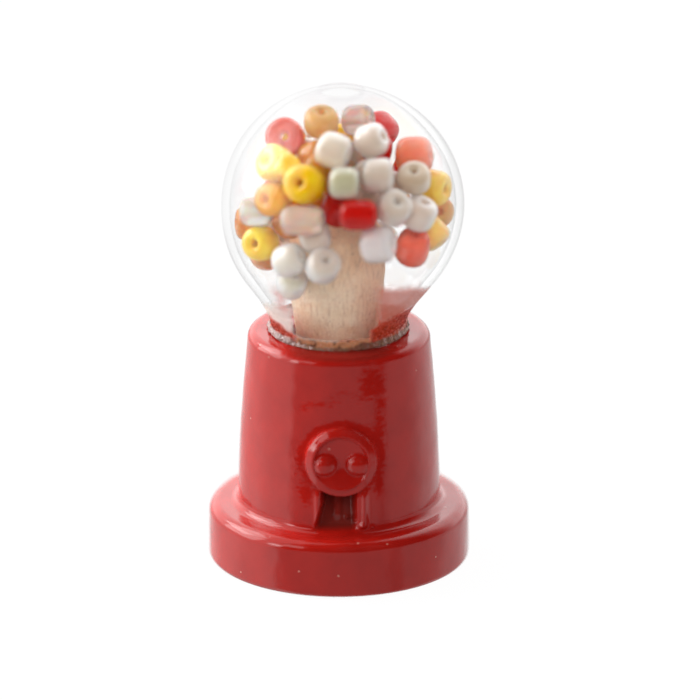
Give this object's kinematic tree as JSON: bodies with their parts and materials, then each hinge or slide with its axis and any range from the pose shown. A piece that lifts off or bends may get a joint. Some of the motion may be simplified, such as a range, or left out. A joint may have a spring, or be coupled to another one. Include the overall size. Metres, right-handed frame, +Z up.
{
  "type": "miniature gumball machine",
  "caption": "Free-standing dollhouse-scale gumball machine: round-footed red casting with a moulded dial and chute, a clear glass globe glued on top, and seed beads packed inside it.",
  "frame": {"origin": "centre of the casting's flat underside", "axes": "+Z up along the casting's axis, -Y out of the front, where the dial and the chute are, +X to the right seen from the front"},
  "size_m": [0.016, 0.016, 0.0303],
  "materials": {
    "red_enamel": "thick glossy enamel over a casting, pooled in the corners, a little hazy, with a few dust specks",
    "globe_glass": "clear blown glass, thin wall",
    "cream_plug": "pale, matt, with faint upright lines",
    "clear_glue": "cured clear adhesive, rough and speckled",
    "red_bead": "transparent red glass, glossy",
    "orange_bead": "translucent orange glass, glossy",
    "yellow_bead": "opaque yellow glass, satin gloss",
    "pearl_bead": "pearl-coated glass, soft pinkish white sheen",
    "white_bead": "opaque white glass with a faint lavender cast",
    "crystal_bead": "clear glass with a faint peach tint",
    "green_bead": "pearl-coated glass, pale green sheen"
  },
  "bodies": {
    "root": {"bead_crystal_01": "crystal_bead", "bead_crystal_02": "crystal_bead", "bead_crystal_03": "crystal_bead", "bead_crystal_04": "crystal_bead", "bead_green_01": "green_bead", "bead_green_02": "green_bead", "bead_orange_01": "orange_bead", "bead_orange_02": "orange_bead", "bead_orange_03": "orange_bead", "bead_orange_04": "orange_bead", "bead_orange_05": "orange_bead", "bead_orange_06": "orange_bead", "bead_orange_07": "orange_bead", "bead_orange_08": "orange_bead", "bead_orange_09": "orange_bead", "bead_orange_10": "orange_bead", "bead_orange_11": "orange_bead", "bead_orange_12": "orange_bead", "bead_pearl_01": "pearl_bead", "bead_pearl_02": "pearl_bead", "bead_pearl_03": "pearl_bead", "bead_pearl_04": "pearl_bead", "bead_pearl_05": "pearl_bead", "bead_pearl_06": "pearl_bead", "bead_pearl_07": "pearl_bead", "bead_pearl_08": "pearl_bead", "bead_pearl_09": "pearl_bead", "bead_pearl_10": "pearl_bead", "bead_pearl_11": "pearl_bead", "bead_pearl_12": "pearl_bead", "bead_pearl_13": "pearl_bead", "bead_pearl_14": "pearl_bead", "bead_pearl_15": "pearl_bead", "bead_pearl_16": "pearl_bead", "bead_pearl_17": "pearl_bead", "bead_pearl_18": "pearl_bead", "bead_red_01": "red_bead", "bead_red_02": "red_bead", "bead_red_03": "red_bead", "bead_red_04": "red_bead", "bead_red_05": "red_bead", "bead_red_06": "red_bead", "bead_red_07": "red_bead", "bead_red_08": "red_bead", "bead_red_09": "red_bead", "bead_white_01": "white_bead", "bead_yellow_01": "yellow_bead", "bead_yellow_02": "yellow_bead", "bead_yellow_03": "yellow_bead", "bead_yellow_04": "yellow_bead", "bead_yellow_05": "yellow_bead", "bead_yellow_06": "yellow_bead", "bead_yellow_07": "yellow_bead", "bead_yellow_08": "yellow_bead", "bead_yellow_09": "yellow_bead", "glass_globe": "globe_glass", "glue_ring": "clear_glue", "inner_beads": "pearl_bead", "neck_plug": "cream_plug", "pedestal": "red_enamel"}
  },
  "joints": []
}
